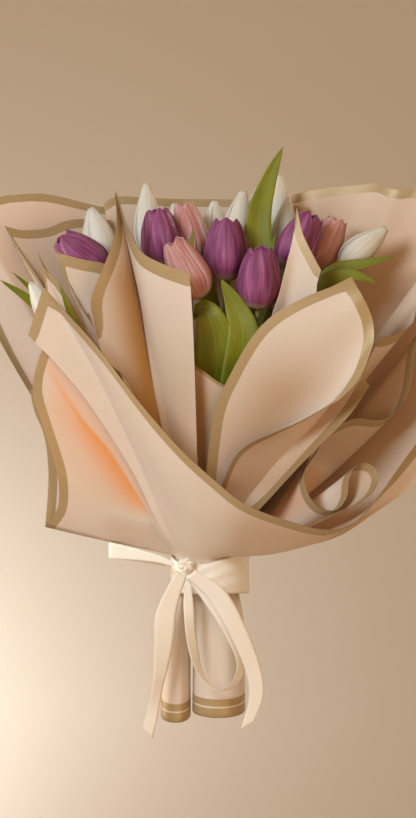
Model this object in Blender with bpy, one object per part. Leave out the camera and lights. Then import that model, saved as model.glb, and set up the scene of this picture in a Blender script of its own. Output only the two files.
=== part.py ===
"""Hand-tied tulip bouquet: eighteen tulips, paper wraps, stem sleeves and a satin ribbon.

Metres, +Z up, and the front faces -Y. The origin is the centre of the bound waist,
where the bouquet is held. Lengths in the tables are millimetres, scaled by MM, and
angles are degrees, counter-clockwise from +X as seen from above.
"""
import math

import bpy
import numpy as np
from mathutils import Vector

MM = 0.001

# Stems: packed as a hexagon at the waist.
STEM_PITCH = 7.0
STEM_RADIUS = 3.1
STEM_NECK_RADIUS = 2.5
STEM_END = -125.0
STEM_STRAIGHT_TOP = 24.0
STEM_SIDES = 6
STEM_BEND = -60.0
STEM_BIND = -14.0
STEM_PULLS = (0.3, 0.24)
STEM_STEPS = 7
HANDLE_SHIFT = 8.0
BLOOM_GAP = 0.6

# Leaves: folded blades, joined to their stem.
LEAF_ROWS = 8
LEAF_THICKNESS = 1.0
LEAF_KEEL = 0.18
LEAF_FOOT = 1.6
LEAF_TIP = 0.4

# Paper: each wrap stands on its own ring round the waist.
PAPER_THICKNESS = 0.8
RING_START = 25.0
RING_PITCH = 1.5
PAPER_FOOT = -17.0
TIE_TOP = 22.0
TIE_DIP = 12.0
TIE_DIP_ANGLE = 245.0
WRAP_ROWS = 5

# Ribbon and twine.
RIBBON_THICKNESS = 0.7
RIBBON_STEPS = 3
BAND_INNER = 38.5
BAND_OUTER = 39.7
BAND_LOW = -21.0
BAND_BELOW_TIE_TOP = 2.0
BAND_SIDES = 36
KNOT_CENTRE = (-24.0, -41.5, 8.0)
KNOT_RADII = (8.0, 4.6, 7.0)
KNOT_SIDES = 10
KNOT_RINGS = 6
TAIL_PIVOT = (-24.0, -46.0, 0.0)
SIDE_LOOP_PIVOT = (-33.0, -41.0, 8.0)
TWINE_INNER = 17.7
TWINE_RADIUS = 1.2
TWINE_TURNS = 3
TWINE_SIDES = 16

# Foil cup round the stem ends.
CUP_OUTER = 22.4
CUP_INNER = 21.2
CUP_LOW = -129.0
CUP_FLOOR = -127.6
CUP_HIGH = -100.0
CUP_SIDES = 20

# Outline of a closed tulip: (share of height, share of half width).
BLOOM_PROFILE = ((0.0, 0.17), (0.06, 0.52), (0.2, 0.86), (0.42, 1.0), (0.66, 0.9), (0.86, 0.62), (1.0, 0.22))
BLOOM_SIDES = 10

PURPLE = (0.27, 0.06, 0.16, 1.0)
PINK = (0.52, 0.2, 0.2, 1.0)
WHITE = (0.78, 0.72, 0.62, 1.0)
GREEN = (0.16, 0.2, 0.02, 1.0)
PAPER = (0.8, 0.58, 0.43, 1.0)
SATIN = (0.85, 0.74, 0.6, 1.0)
TWINE = (0.5, 0.36, 0.2, 1.0)
FOIL = (0.75, 0.75, 0.72, 1.0)

# Tulips: name, colour, centre, lean to the right, tilt to the front, height, width, seat.
# A seat is (ring, angle) in the bundle at the waist.
TULIPS = (
    ("purple_left", PURPLE, (-128, 5, 316), -50, 6, 60, 41, (2, 210)),
    ("purple_mid_left", PURPLE, (-49, -2, 334), -8, 4, 60, 40, (1, 180)),
    ("purple_centre", PURPLE, (16, -8, 322), 0, 4, 64, 43, (1, 300)),
    ("purple_front", PURPLE, (49, -41, 293), 3, 10, 64, 43, (2, 300)),
    ("purple_right", PURPLE, (89, 0, 331), 27, 4, 62, 40, (2, 330)),
    ("pink_back", PINK, (-20, 23, 340), -14, 0, 62, 34, (0, 0)),
    ("pink_front", PINK, (-23, -41, 302), -28, 8, 66, 38, (2, 270)),
    ("pink_right", PINK, (116, 36, 329), 28, -2, 58, 35, (2, 30)),
    ("white_far_left", WHITE, (-113, 46, 336), -14, -6, 60, 34, (2, 180)),
    ("white_left_low", WHITE, (-166, -12, 268), -32, 4, 50, 25, (2, 240)),
    ("white_tall_left", WHITE, (-63, 42, 354), -2, -4, 72, 27, (2, 150)),
    ("white_behind_pink", WHITE, (-34, 55, 340), -4, -6, 62, 25, (2, 120)),
    ("white_back_centre", WHITE, (4, 56, 340), 0, -6, 62, 25, (1, 120)),
    ("white_centre_right", WHITE, (28, 31, 351), 10, -4, 64, 25, (1, 60)),
    ("white_behind_leaf", WHITE, (43, 56, 356), 12, -6, 66, 24, (2, 90)),
    ("white_tall_right", WHITE, (68, 66, 366), 5, -6, 68, 25, (2, 60)),
    ("white_right", WHITE, (75, 36, 346), 6, -4, 60, 24, (1, 0)),
    ("white_far_right", WHITE, (154, 20, 325), 50, 0, 60, 30, (2, 0)),
)

# Leaves: stem, height where it leaves the stem, path to the tip, widest, facing direction.
LEAVES = (
    ("tall", "white_right", 205,
     ((44, 9, 265), (48, 4, 312), (49, 5, 357), (60, 2, 395), (73, 0, 425)), 27, (0, -1, 0)),
    ("between_pinks", "purple_mid_left", 190,
     ((-24, -5, 250), (-21, -9, 300), (-17, -9, 344)), 12, (0, -1, 0)),
    ("front_left", "pink_front", 130,
     ((-6, -32, 160), (1, -40, 200), (-1, -47, 232), (-9, -50, 262)), 38, (0, -1, 0.2)),
    ("front_centre", "purple_front", 140,
     ((30, -38, 175), (34, -48, 208), (33, -50, 240), (24, -46, 268), (11, -43, 292)), 31, (0, -1, 0)),
    ("dark_centre", "purple_centre", 140, ((4, 1, 200), (3, 6, 250), (0, 9, 288)), 17, (0, -1, 0)),
    ("right_low", "purple_right", 215,
     ((96, -7, 262), (116, -12, 290), (142, -16, 297), (168, -18, 288)), 20, (0, -1, 0.5)),
    ("right_high", "white_far_right", 235,
     ((102, 8, 272), (122, 3, 300), (150, -3, 308), (184, -6, 315)), 16, (0, -1, 0.5)),
    ("small_right", "purple_front", 200, ((46, -16, 270), (57, -13, 305), (66, -17, 339)), 10, (0, -1, 0)),
    ("far_left_low", "white_left_low", 190,
     ((-140, 5, 235), (-168, 9, 262), (-190, 7, 279), (-210, 2, 292)), 14, (0, -1, 0)),
    ("far_left_high", "white_left_low", 165,
     ((-120, 8, 212), (-150, 17, 252), (-180, 17, 284), (-198, 12, 300)), 12, (0, -1, 0)),
    ("left_strip", "white_left_low", 170,
     ((-112, -32, 196), (-132, -44, 242), (-150, -47, 287)), 11, (0, -1, 0)),
    ("dark_right", "purple_right", 140, ((52, -15, 200), (58, -20, 230), (62, -22, 262)), 18, (0, -1, 0)),
)

# Wraps: ring, angles of the foot, free edge as runs that meet in corners, and options:
# belly (outwards, upwards) and bend shape each rib; first and last are the side edges.
WRAPS = {
    "wrap_back_left": dict(
        ring=5, angles=(88, 183), belly=(12, -14), columns=15,
        rim=(((35, 98, 369), (-40, 101, 371), (-105, 98, 368), (-124, 93, 371), (-148, 88, 377),
              (-171, 82, 381), (-190, 77, 380), (-210, 72, 378), (-240, 62, 369)),
             ((-240, 62, 369), (-232, 46, 282), (-210, 34, 229), (-172, 19, 164), (-150, 13, 132)))),
    "wrap_back_centre": dict(
        ring=4, angles=(62, 118), belly=(9, -2),
        rim=(((100, 86, 367), (65, 90, 371), (30, 91, 375), (-40, 91, 376), (-92, 88, 378),
              (-108, 86, 371)),)),
    "wrap_back_right": dict(
        ring=6, angles=(-18, 85), belly=(14, -16), columns=15,
        first=((70, -22, 28), (120, -36, 40)),
        rim=(((158, -46, 57), (206, -34, 96), (228, -16, 160), (238, 0, 222), (244, 20, 292), (245, 45, 367)),
             ((245, 45, 367), (206, 62, 385), (188, 62, 383), (170, 74, 391), (145, 84, 389), (120, 90, 387),
              (90, 97, 382), (60, 104, 372)))),
    "wrap_left_liner": dict(
        ring=2, angles=(112, 182), belly=(8, -6),
        rim=(((-100, 80, 354), (-130, 72, 355), (-148, 65, 352), (-165, 58, 345), (-190, 50, 343),
              (-207, 44, 347)),
             ((-207, 44, 347), (-190, 38, 320), (-167, 30, 285), (-150, 16, 237)))),
    "wrap_left_flap": dict(
        ring=1, angles=(198, 222), belly=(2, 0), columns=9,
        first=((-62, -22, 140),),
        rim=(((-113, -28, 243), (-130, -30, 270), (-148, -31, 304), (-154, -31, 319)),
             ((-154, -31, 319), (-139, -32, 315), (-122, -31, 311), (-106, -30, 308), (-94, -28, 300)))),
    "wrap_roll": dict(
        ring=3, angles=(210, 262), belly=(4, 0), columns=16,
        first=((-60, -46, 172), (-90, -50, 213)),
        rim=(((-114, -56, 242), (-118, -56, 263), (-113, -54, 290), (-101, -51, 315), (-93, -48, 345),
              (-94, -48, 380)),
             ((-94, -48, 380), (-86, -52, 355), (-76, -60, 329), (-58, -72, 312), (-40, -77, 304),
              (-20, -74, 298))),
        last=((-12, -58, 110), (-13, -66, 152), (-16, -73, 235))),
    "wrap_inner_liner": dict(
        ring=0, angles=(225, 300), belly=(3, 0),
        rim=(((-34, -54, 215), (-13, -57, 205), (8, -60, 190), (18, -60, 187), (26, -58, 197), (34, -56, 206)),)),
    "wrap_right_leaf": dict(
        ring=3, angles=(274, 298), belly=(-1, 0), columns=10, rows=8,
        first=((-5, -50, 60), (-3, -68, 105), (5, -83, 162), (20, -88, 197), (40, -90, 232), (60, -90, 254),
               (90, -88, 272), (120, -84, 284)),
        rim=(((140, -80, 294), (157, -79, 262), (162, -80, 242), (160, -82, 222), (146, -86, 192),
              (128, -88, 172)),),
        last=((10, -58, 75), (14, -74, 94), (25, -82, 117), (40, -86, 130), (60, -89, 139), (90, -91, 152))),
    "wrap_right_fold": dict(
        ring=2, angles=(282, 306), belly=(-2, 0), columns=8, rows=7,
        first=((12, -38, 75), (30, -50, 125), (72, -58, 172)),
        rim=(((120, -60, 202), (131, -62, 203), (138, -66, 180)),),
        last=((32, -46, 42), (54, -70, 66), (72, -75, 88), (94, -73, 118), (118, -69, 152))),
    "wrap_right_cone": dict(
        ring=1, angles=(306, 352), belly=(0, -8),
        first=((38, -36, 120), (58, -55, 242), (67, -56, 272), (76, -51, 308), (83, -45, 335)),
        rim=(((86, -40, 363), (88, -42, 356), (92, -46, 338), (99, -50, 322), (110, -54, 301)),
             ((110, -54, 301), (106, -54, 286), (108, -50, 262), (116, -42, 240)))),
    "wrap_right_ruffle": dict(
        ring=4, angles=(304, 362), belly=(2, -8), bend=0.62, back=18, columns=24, rows=5,
        rim=(((115, -98, 58), (140, -95, 67), (160, -88, 80), (167, -80, 97), (158, -76, 109), (145, -77, 108),
              (137, -79, 94), (135, -81, 77), (125, -82, 64), (108, -81, 66), (96, -79, 82), (94, -76, 102),
              (105, -68, 127), (125, -56, 145), (145, -48, 154), (170, -40, 152), (185, -35, 160),
              (195, -30, 172), (201, -26, 192), (206, -20, 227), (216, -14, 250)),)),
    "wrap_right_liner": dict(
        ring=3, angles=(326, 388), belly=(-4, 10),
        rim=(((126, -34, 150), (146, -26, 172), (175, -14, 202), (195, -4, 242), (206, 6, 272), (218, 20, 305)),)),
    "wrap_left_wing": dict(
        ring=7, angles=(188, 214), belly=(0, 0), columns=18, rows=5,
        rim=(((-180, -4, 184), (-176, -8, 163), (-165, -13, 135), (-161, -20, 95), (-164, -28, 46)),
             ((-164, -28, 46), (-151, -40, 66), (-151, -50, 96), (-158, -53, 122), (-168, -55, 152),
              (-176, -57, 182), (-168, -61, 218), (-154, -58, 236))),
        last=((-50, -30, 48), (-90, -46, 129), (-119, -52, 168))),
    "wrap_front": dict(
        ring=8, angles=(218, 328), belly=(6, -8), columns=20, rows=6,
        first=((-51, -40, 48), (-78, -50, 103), (-119, -62, 167), (-150, -69, 205)),
        rim=(((-180, -71, 236), (-165, -72, 284)),
             ((-165, -72, 284), (-138, -82, 254), (-112, -91, 225), (-70, -105, 170), (-30, -113, 124),
              (5, -117, 92), (35, -118, 69), (80, -116, 52), (120, -108, 44), (150, -99, 57), (170, -91, 82),
              (190, -83, 110), (210, -72, 137), (236, -50, 176))),
        last=((62, -46, 22), (120, -72, 34), (160, -74, 58), (206, -64, 92), (232, -54, 130))),
}

# Stem sleeves: rows of (height, centre x, half width, half depth), and the lowest front edge.
SLEEVES = {
    "stem_sleeve_left": (((-18.5, -29.6, 6.6, 15), (-34, -33, 11, 17), (-62, -34.4, 14.2, 18),
                          (-100, -34.4, 14.2, 18), (-143, -34.4, 14.6, 19)), 7.0),
    "stem_sleeve_right": (((-18.5, 3, 24, 24), (-34, 6, 24.6, 24.5), (-62, 8.6, 25.6, 25),
                           (-100, 8.6, 25.6, 25), (-138, 8.6, 26.2, 25.5)), 7.0),
}
SLEEVE_SIDES = 18

# Ribbons: path, half width vectors along it, and pivot.
RIBBONS = {
    "ribbon_tail_left": dict(
        pivot=TAIL_PIVOT,
        path=((-28, -41, -1), (-36, -42, -18), (-44, -41, -43), (-47, -39, -78), (-51, -38, -108),
              (-57, -38, -138), (-62, -38, -160)),
        half=((4, 1, -2), (7, 2, -3), (6, 3, -1), (3, 3.5, 0), (6, 3, -1), (7, 1, -2.5), (6, 1, -5))),
    "ribbon_tail_right": dict(
        pivot=TAIL_PIVOT,
        path=((-19, -46.6, -1), (5, -46, -20), (25, -44, -52), (42, -40, -93), (46, -38, -123), (37, -38, -152)),
        half=((3, -1, 3), (5.5, -1, 5), (7, 1, 3.5), (7.5, 2, 1), (7.5, 1, -1), (6.5, 0, 4))),
    "ribbon_loop_hanging": dict(
        pivot=TAIL_PIVOT,
        path=((-21, -42.5, -2), (4, -42.2, -30), (22, -41, -62), (31, -40, -92), (22, -41, -112), (5, -44, -116),
              (-10, -45, -98), (-18, -44, -68), (-21, -43.5, -38), (-22.5, -43.5, -8)),
        half=((3, 0, 2), (6, 0, 4), (7, 2, 3), (6, 5, 0), (3, 7, -2), (0, 7.5, 0), (4, 6, 2), (5, 3, 0),
              (5, 0, 0), (2.5, 0, 0))),
    "ribbon_loop_side": dict(
        pivot=SIDE_LOOP_PIVOT,
        path=((-34, -43, 8), (-50, -39, 13.5), (-75, -31, 18.5), (-96, -22, 21.5), (-101, -16, 22),
              (-96, -11, 21.5), (-75, -17, 17.5), (-54, -28, 12), (-38, -38.5, 7)),
        half=((0, 0, 3), (0, 0.5, 5.5), (0, 0.5, 7), (0, 0, 7.5), (0, 0, 7.5), (0, 0, 7.5), (0, -0.5, 6.5),
              (0, -0.5, 5), (0, 0, 3))),
}


def clear_scene():
    for item in list(bpy.data.objects):
        bpy.data.objects.remove(item, do_unlink=True)


def material(name, colour, roughness, metallic=0.0):
    made = bpy.data.materials.new(name)
    made.use_nodes = True
    shader = made.node_tree.nodes["Principled BSDF"]
    shader.inputs["Base Color"].default_value = colour
    shader.inputs["Roughness"].default_value = roughness
    shader.inputs["Metallic"].default_value = metallic
    return made


def add_object(name, points, faces, finish, origin=(0.0, 0.0, 0.0)):
    """Make one object from points in millimetres, with its origin at the given point."""
    origin = np.array(origin, dtype=float)
    local = (np.array(points, dtype=float) - origin) * MM
    mesh = bpy.data.meshes.new(name)
    mesh.from_pydata([tuple(point) for point in local], [], faces)
    mesh.materials.append(finish)
    mesh.shade_smooth()
    item = bpy.data.objects.new(name, mesh)
    item.location = tuple(origin * MM)
    item.parent = bpy.data.objects["bouquet"]
    bpy.context.scene.collection.objects.link(item)
    return item


def thicken(item, thickness):
    """Turn an open sheet into a closed one with its middle on the sheet."""
    solid = item.modifiers.new("thickness", "SOLIDIFY")
    solid.thickness = thickness * MM
    solid.offset = 0.0
    solid.use_even_offset = False


def smooth_curve(points, count):
    """Catmull-Rom curve through the points, as count equal steps of its length."""
    knots = np.array(points, dtype=float)
    if len(knots) == 2:
        return np.linspace(knots[0], knots[1], count + 1)
    padded = np.vstack([2 * knots[0] - knots[1], knots, 2 * knots[-1] - knots[-2]])
    fine = []
    for before, start, end, after in zip(padded, padded[1:], padded[2:], padded[3:]):
        for t in np.linspace(0.0, 1.0, 12, endpoint=False):
            fine.append(0.5 * (2 * start + (end - before) * t
                               + (2 * before - 5 * start + 4 * end - after) * t ** 2
                               + (3 * start - before - 3 * end + after) * t ** 3))
    fine = np.array(fine + [knots[-1]])
    along = np.concatenate([[0.0], np.cumsum(np.linalg.norm(np.diff(fine, axis=0), axis=1))])
    wanted = np.linspace(0.0, along[-1], count + 1)
    return np.column_stack([np.interp(wanted, along, fine[:, axis]) for axis in range(3)])


def run_length(run):
    return float(np.linalg.norm(np.diff(np.array(run, dtype=float), axis=0), axis=1).sum())


def cornered_curve(runs, count):
    """Join smooth runs so that each corner between them falls on a step."""
    lengths = [run_length(run) for run in runs]
    joined = []
    used = 0
    for index, run in enumerate(runs):
        share = count * sum(lengths[:index + 1]) / sum(lengths)
        steps = count - used if index == len(runs) - 1 else max(1, round(share) - used)
        joined.extend(smooth_curve(run, steps)[:-1])
        used += steps
    joined.append(np.array(runs[-1][-1], dtype=float))
    return np.array(joined)


def grid_faces(columns, rows):
    """Quads of a grid whose points run column by column, rows + 1 points each."""
    height = rows + 1
    return [(c * height + r, (c + 1) * height + r, (c + 1) * height + r + 1, c * height + r + 1)
            for c in range(columns) for r in range(rows)]


def ring_point(radius, degrees, height):
    angle = math.radians(degrees)
    return np.array([radius * math.cos(angle), radius * math.sin(angle), height])


def tie_top(degrees):
    """Height where the paper leaves the tie; it is lowest at the front left."""
    return TIE_TOP - TIE_DIP * max(0.0, math.cos(math.radians(degrees - TIE_DIP_ANGLE))) ** 2


def wrap_grid(ring, angles, rim, belly=(0, 0), bend=0.5, back=0, first=None, last=None, columns=12,
              rows=WRAP_ROWS):
    """Points of one paper wrap: a band round the waist that fans out to its free edge."""
    radius = RING_START + RING_PITCH * ring
    spread = np.linspace(angles[0], angles[1], columns + 1)
    roots = [ring_point(radius, angle, tie_top(angle)) for angle in spread]
    edge = cornered_curve(rim, columns)
    heights = np.linspace(0.0, 1.0, rows + 1)

    def rib_bulge(column):
        outward = ring_point(belly[0], spread[column], belly[1]) + np.array([0.0, back, 0.0])
        shift = (bend - 0.5) * (edge[column] - roots[column]) + outward
        return [2 * v * (1 - v) * shift for v in heights]

    def side_bulge(side, column):
        if side is None:
            return rib_bulge(column)
        curve = smooth_curve([roots[column], *side, edge[column]], rows)
        chord = np.linspace(roots[column], edge[column], rows + 1)
        return list(curve - chord)

    first_bulge = side_bulge(first, 0)
    last_bulge = side_bulge(last, columns)
    points = []
    for column, angle in enumerate(spread):
        u = column / columns
        middle = 4 * u * (1 - u)
        own_bulge = rib_bulge(column)
        points.append(ring_point(radius, angle, PAPER_FOOT))
        for row, v in enumerate(heights):
            sides = (1 - u) * first_bulge[row] + u * last_bulge[row]
            chord = (1 - v) * roots[column] + v * edge[column]
            points.append(chord + (1 - middle) * sides + middle * own_bulge[row])
    return points, grid_faces(columns, rows + 1)


def make_wraps(finish):
    """Paper wraps, each a closed thin sheet."""
    for name, shape in WRAPS.items():
        points, faces = wrap_grid(**shape)
        thicken(add_object(name, points, faces, finish), PAPER_THICKNESS)


def sweep_tube(path, radii, sides):
    """Closed round tube along a path, with flat ends."""
    path = np.array(path, dtype=float)
    normal = Vector((0.0, -1.0, 0.0))
    points = []
    for index, centre in enumerate(path):
        ahead = path[min(index + 1, len(path) - 1)] - path[max(index - 1, 0)]
        tangent = Vector(ahead).normalized()
        normal = (normal - tangent * normal.dot(tangent)).normalized()
        across = tangent.cross(normal)
        for side in range(sides):
            turn = 2 * math.pi * side / sides
            offset = normal * math.cos(turn) + across * math.sin(turn)
            points.append(centre + radii[index] * np.array(offset))
    faces = []
    for ring in range(len(path) - 1):
        low = ring * sides
        for side in range(sides):
            beside = (side + 1) % sides
            faces.append((low + side, low + beside, low + sides + beside, low + sides + side))
    faces.append(tuple(reversed(range(sides))))
    top = (len(path) - 1) * sides
    faces.append(tuple(range(top, top + sides)))
    return points, faces


def bloom_axis(lean, tilt):
    """Direction in which a tulip points."""
    lean, tilt = math.radians(lean), math.radians(tilt)
    return np.array([math.cos(tilt) * math.sin(lean), -math.sin(tilt), math.cos(tilt) * math.cos(lean)])


def seat_point(ring, degrees, height):
    """Place of a stem in the hexagonal bundle at the waist."""
    corner_distance = ring * STEM_PITCH
    off_corner = math.radians((degrees + 30.0) % 60.0 - 30.0)
    on_flat = ring == 2 and abs(off_corner) > 0.1
    distance = corner_distance * math.cos(math.radians(30.0)) if on_flat else corner_distance
    return ring_point(distance, degrees, height)


def stem_path(centre, lean, tilt, height, seat):
    """Centre line of a stem, from its cut end up to the base of its bloom."""
    axis = bloom_axis(lean, tilt)
    top = np.array(centre, dtype=float) - axis * (height / 2 + BLOOM_GAP)
    seat_top = seat_point(*seat, STEM_STRAIGHT_TOP)
    reach = float(np.linalg.norm(top - seat_top))
    rise = np.array([0.0, 0.0, STEM_PULLS[0] * reach])
    controls = (seat_top, seat_top + rise, top - axis * STEM_PULLS[1] * reach, top)
    aside = np.array([HANDLE_SHIFT, 0.0, 0.0])
    path = [seat_point(*seat, STEM_END) + aside, seat_point(*seat, STEM_BEND) + aside,
            seat_point(*seat, STEM_BIND)]
    for t in np.linspace(0.0, 1.0, STEM_STEPS + 1):
        weights = ((1 - t) ** 3, 3 * t * (1 - t) ** 2, 3 * t ** 2 * (1 - t), t ** 3)
        path.append(sum(weight * control for weight, control in zip(weights, controls)))
    return np.array(path)


def leaf_blade(path, width, facing):
    """Open, folded blade: narrow foot, widest near the middle, pointed tip."""
    spine = smooth_curve(path, LEAF_ROWS)
    facing = Vector(facing).normalized()
    points = []
    for row, centre in enumerate(spine):
        t = row / LEAF_ROWS
        tangent = Vector(spine[min(row + 1, LEAF_ROWS)] - spine[max(row - 1, 0)]).normalized()
        across = tangent.cross(facing).normalized()
        normal = across.cross(tangent)
        half = 0.5 * width * math.sin(math.pi * t ** 0.8) ** 0.75 if 0 < t < 1 else 0.0
        half = max(half, LEAF_FOOT * (1 - t) + LEAF_TIP)
        keel = LEAF_KEEL * half
        points.append(centre - half * np.array(across))
        points.append(centre - keel * np.array(normal))
        points.append(centre + half * np.array(across))
    faces = []
    for row in range(LEAF_ROWS):
        low = 3 * row
        faces.append((low, low + 1, low + 4, low + 3))
        faces.append((low + 1, low + 2, low + 5, low + 4))
    return points, faces


def add_leaf(stem, path, name, steps, width, facing, leave_height, finish):
    """Grow one leaf from a stem; the blade is joined to the stem as one body."""
    foot = np.array([np.interp(leave_height, path[:, 2], path[:, axis]) for axis in range(3)])
    points, faces = leaf_blade([foot, *steps], width, facing)
    blade = add_object("blade_" + name, points, faces, finish)
    thicken(blade, LEAF_THICKNESS)
    blade.hide_render = True
    blade.display_type = "WIRE"
    join = stem.modifiers.new("leaf_" + name, "BOOLEAN")
    join.operation = "UNION"
    join.solver = "EXACT"
    join.object = blade


def make_bloom(name, centre, lean, tilt, height, width, finish):
    """Closed bloom: the full outline of its petals, turned about its own axis."""
    points = []
    for share, breadth in BLOOM_PROFILE:
        for side in range(BLOOM_SIDES):
            turn = 2 * math.pi * side / BLOOM_SIDES
            radius = 0.5 * width * breadth
            points.append((radius * math.cos(turn), radius * math.sin(turn), share * height))
    faces = []
    for ring in range(len(BLOOM_PROFILE) - 1):
        low = ring * BLOOM_SIDES
        for side in range(BLOOM_SIDES):
            beside = (side + 1) % BLOOM_SIDES
            faces.append((low + side, low + beside, low + BLOOM_SIDES + beside, low + BLOOM_SIDES + side))
    faces.append(tuple(reversed(range(BLOOM_SIDES))))
    top = (len(BLOOM_PROFILE) - 1) * BLOOM_SIDES
    faces.append(tuple(range(top, top + BLOOM_SIDES)))
    bloom = add_object("bloom_" + name, points, faces, finish)
    base = np.array(centre, dtype=float) - bloom_axis(lean, tilt) * height / 2
    bloom.location = tuple(base * MM)
    bloom.rotation_euler = (math.radians(tilt), math.radians(lean), 0.0)


def make_tulips():
    """Each tulip: a bloom, and a stem that carries its leaves."""
    petals = {PURPLE: material("purple_petal", PURPLE, 0.45), PINK: material("pink_petal", PINK, 0.45),
              WHITE: material("white_petal", WHITE, 0.45)}
    green = material("stem_green", GREEN, 0.5)
    for name, colour, centre, lean, tilt, height, width, seat in TULIPS:
        make_bloom(name, centre, lean, tilt, height, width, petals[colour])
        path = stem_path(centre, lean, tilt, height, seat)
        radii = np.linspace(STEM_RADIUS, STEM_NECK_RADIUS, len(path))
        points, faces = sweep_tube(path, radii, STEM_SIDES)
        stem = add_object("stem_" + name, points, faces, green)
        for leaf_name, owner, leave_height, steps, leaf_width, facing in LEAVES:
            if owner == name:
                add_leaf(stem, path, leaf_name, steps, leaf_width, facing, leave_height, green)


def make_sleeves(finish):
    """Two open paper tubes below the tie; their lower edges dip at the front."""
    for name, (rows, dip) in SLEEVES.items():
        points = []
        for side in range(SLEEVE_SIDES):
            turn = 2 * math.pi * side / SLEEVE_SIDES
            for row, (height, centre_x, half_width, half_depth) in enumerate(rows):
                low = dip * max(0.0, -math.sin(turn)) if row == len(rows) - 1 else 0.0
                points.append((centre_x + half_width * math.cos(turn), half_depth * math.sin(turn),
                               height - low))
        count = len(rows)
        faces = []
        for side in range(SLEEVE_SIDES):
            low, beside = side * count, ((side + 1) % SLEEVE_SIDES) * count
            for row in range(count - 1):
                faces.append((low + row, low + row + 1, beside + row + 1, beside + row))
        thicken(add_object(name, points, faces, finish), PAPER_THICKNESS)


def turned_ring(name, profile, sides, finish):
    """Closed ring: profile(angle) gives the corners of its section as (radius, height)."""
    sections = [profile(360.0 * side / sides) for side in range(sides)]
    count = len(sections[0])
    points = [ring_point(radius, 360.0 * side / sides, height)
              for side, section in enumerate(sections) for radius, height in section]
    faces = []
    for side in range(sides):
        low, beside = side * count, ((side + 1) % sides) * count
        for corner in range(count):
            after = (corner + 1) % count
            faces.append((low + corner, beside + corner, beside + after, low + after))
    return add_object(name, points, faces, finish)


def make_band(finish):
    """Ribbon round the waist; its upper edge dips with the paper."""
    def section(degrees):
        top = tie_top(degrees) - BAND_BELOW_TIE_TOP
        return ((BAND_INNER, BAND_LOW), (BAND_OUTER, BAND_LOW), (BAND_OUTER, top), (BAND_INNER, top))
    turned_ring("ribbon_band", section, BAND_SIDES, finish)


def make_twine(finish):
    """Twine round the stems: one ring with a ridge for each turn."""
    bottom = -TWINE_TURNS * TWINE_RADIUS
    outer = []
    for turn in range(TWINE_TURNS):
        low = bottom + 2 * TWINE_RADIUS * turn
        outer += [(TWINE_INNER + TWINE_RADIUS, low), (TWINE_INNER + 2 * TWINE_RADIUS, low + TWINE_RADIUS)]
    outer.append((TWINE_INNER + TWINE_RADIUS, -bottom))
    section = ((TWINE_INNER, bottom), *outer, (TWINE_INNER, -bottom))
    turned_ring("binding_twine", lambda degrees: section, TWINE_SIDES, finish)


def make_water_wrap(finish):
    """Foil cup round the wet ends of the stems."""
    rings = ((CUP_OUTER, CUP_LOW), (CUP_OUTER, CUP_HIGH), (CUP_INNER, CUP_HIGH), (CUP_INNER, CUP_FLOOR))
    points = [ring_point(radius, 360.0 * side / CUP_SIDES, height) + np.array([HANDLE_SHIFT, 0, 0])
              for radius, height in rings for side in range(CUP_SIDES)]
    faces = []
    for ring in range(len(rings) - 1):
        low = ring * CUP_SIDES
        for side in range(CUP_SIDES):
            beside = (side + 1) % CUP_SIDES
            faces.append((low + side, low + beside, low + CUP_SIDES + beside, low + CUP_SIDES + side))
    faces.append(tuple(reversed(range(CUP_SIDES))))
    floor_start = (len(rings) - 1) * CUP_SIDES
    faces.append(tuple(range(floor_start, floor_start + CUP_SIDES)))
    add_object("stem_water_wrap", points, faces, finish)


def make_knot(finish):
    """Ribbon knot: a full oval."""
    points = [(0.0, 0.0, -1.0)]
    for ring in range(1, KNOT_RINGS):
        lift = math.pi * (ring / KNOT_RINGS - 0.5)
        for side in range(KNOT_SIDES):
            turn = 2 * math.pi * side / KNOT_SIDES
            points.append((math.cos(lift) * math.cos(turn), math.cos(lift) * math.sin(turn), math.sin(lift)))
    points.append((0.0, 0.0, 1.0))
    faces = [(0, 1 + (side + 1) % KNOT_SIDES, 1 + side) for side in range(KNOT_SIDES)]
    for ring in range(KNOT_RINGS - 2):
        low = 1 + ring * KNOT_SIDES
        for side in range(KNOT_SIDES):
            beside = (side + 1) % KNOT_SIDES
            faces.append((low + side, low + beside, low + KNOT_SIDES + beside, low + KNOT_SIDES + side))
    low = 1 + (KNOT_RINGS - 2) * KNOT_SIDES
    faces += [(low + side, low + (side + 1) % KNOT_SIDES, len(points) - 1) for side in range(KNOT_SIDES)]
    placed = np.array(points) * np.array(KNOT_RADII) + np.array(KNOT_CENTRE)
    add_object("ribbon_knot", placed, faces, finish, origin=KNOT_CENTRE)


def make_ribbons(finish):
    """Tails and loops: each is one strip that follows its path and half width vectors."""
    for name, shape in RIBBONS.items():
        steps = RIBBON_STEPS * (len(shape["path"]) - 1)
        spine = smooth_curve(shape["path"], steps)
        share = np.linspace(0, len(shape["half"]) - 1, steps + 1)
        half = np.array(shape["half"], dtype=float)
        halves = np.column_stack([np.interp(share, range(len(half)), half[:, axis]) for axis in range(3)])
        points = [point for centre, reach in zip(spine, halves) for point in (centre - reach, centre + reach)]
        faces = [(2 * row, 2 * row + 1, 2 * row + 3, 2 * row + 2) for row in range(steps)]
        thicken(add_object(name, points, faces, finish, origin=shape["pivot"]), RIBBON_THICKNESS)


def build():
    clear_scene()
    bouquet = bpy.data.objects.new("bouquet", None)
    bpy.context.scene.collection.objects.link(bouquet)
    paper = material("wrap_paper", PAPER, 0.55)
    satin = material("satin_ribbon", SATIN, 0.35)
    make_tulips()
    make_wraps(paper)
    make_sleeves(paper)
    make_band(satin)
    make_knot(satin)
    make_ribbons(satin)
    make_twine(material("jute_twine", TWINE, 0.9))
    make_water_wrap(material("foil", FOIL, 0.3, 0.8))


build()
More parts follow.
